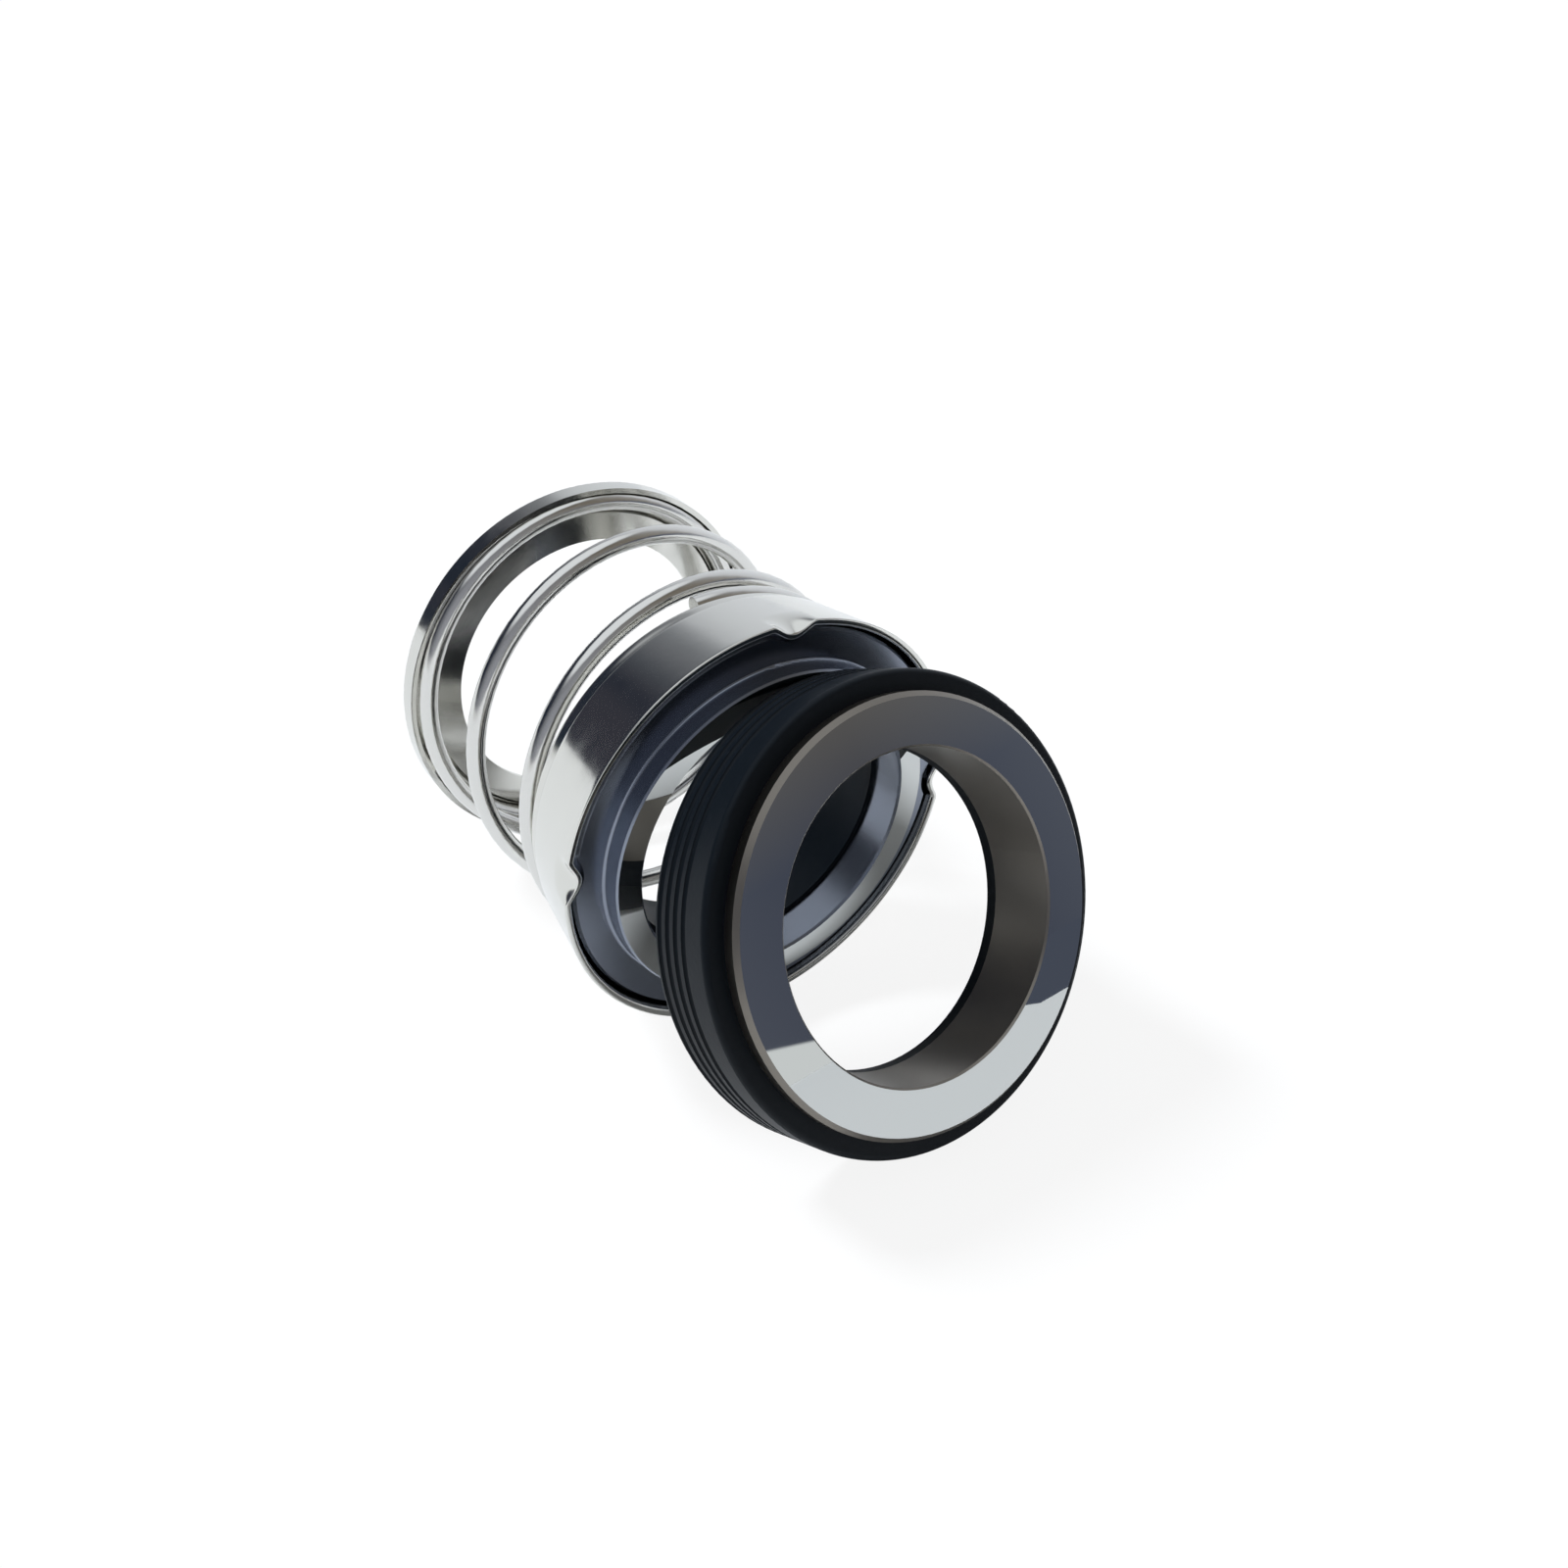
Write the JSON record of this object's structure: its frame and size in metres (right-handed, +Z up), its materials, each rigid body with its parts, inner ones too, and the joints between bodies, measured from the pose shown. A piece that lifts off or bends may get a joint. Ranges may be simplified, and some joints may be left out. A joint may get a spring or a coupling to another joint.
{
  "type": "component mechanical seal",
  "caption": "Shaft seal set: a spring-loaded head with a lapped ring in a dented steel shell, and a lapped seat in a grooved rubber cup leaning on it.",
  "frame": {"origin": "centre of the head's lapped face, on the head's axis", "axes": "+Y along the head's axis from its lapped face to its spring ring, +Z up, +X to the side"},
  "size_m": [0.0513, 0.0727, 0.0484],
  "materials": {
    "seal_carbide": "lapped faces, satin ground sides",
    "pressed_steel": "bright polished stainless sheet",
    "spring_steel": "bright drawn stainless wire",
    "seal_rubber": "smooth moulded black rubber"
  },
  "bodies": {
    "sealing_parts": {"seal_ring": "seal_carbide", "retainer_shell": "pressed_steel", "rubber_boot": "seal_rubber", "coil_spring": "spring_steel", "seat_ring": "seal_carbide", "seat_rubber_cup": "seal_rubber"},
    "spring_plate": {"spring_ring": "pressed_steel"}
  },
  "joints": [
    {"name": "spring_travel", "type": "slide", "parent": "sealing_parts", "child": "spring_plate", "axis": [0, -1, 0], "range_m": [0, 0.008], "stiffness_N_per_m": 850, "deforming": ["coil_spring"]}
  ]
}
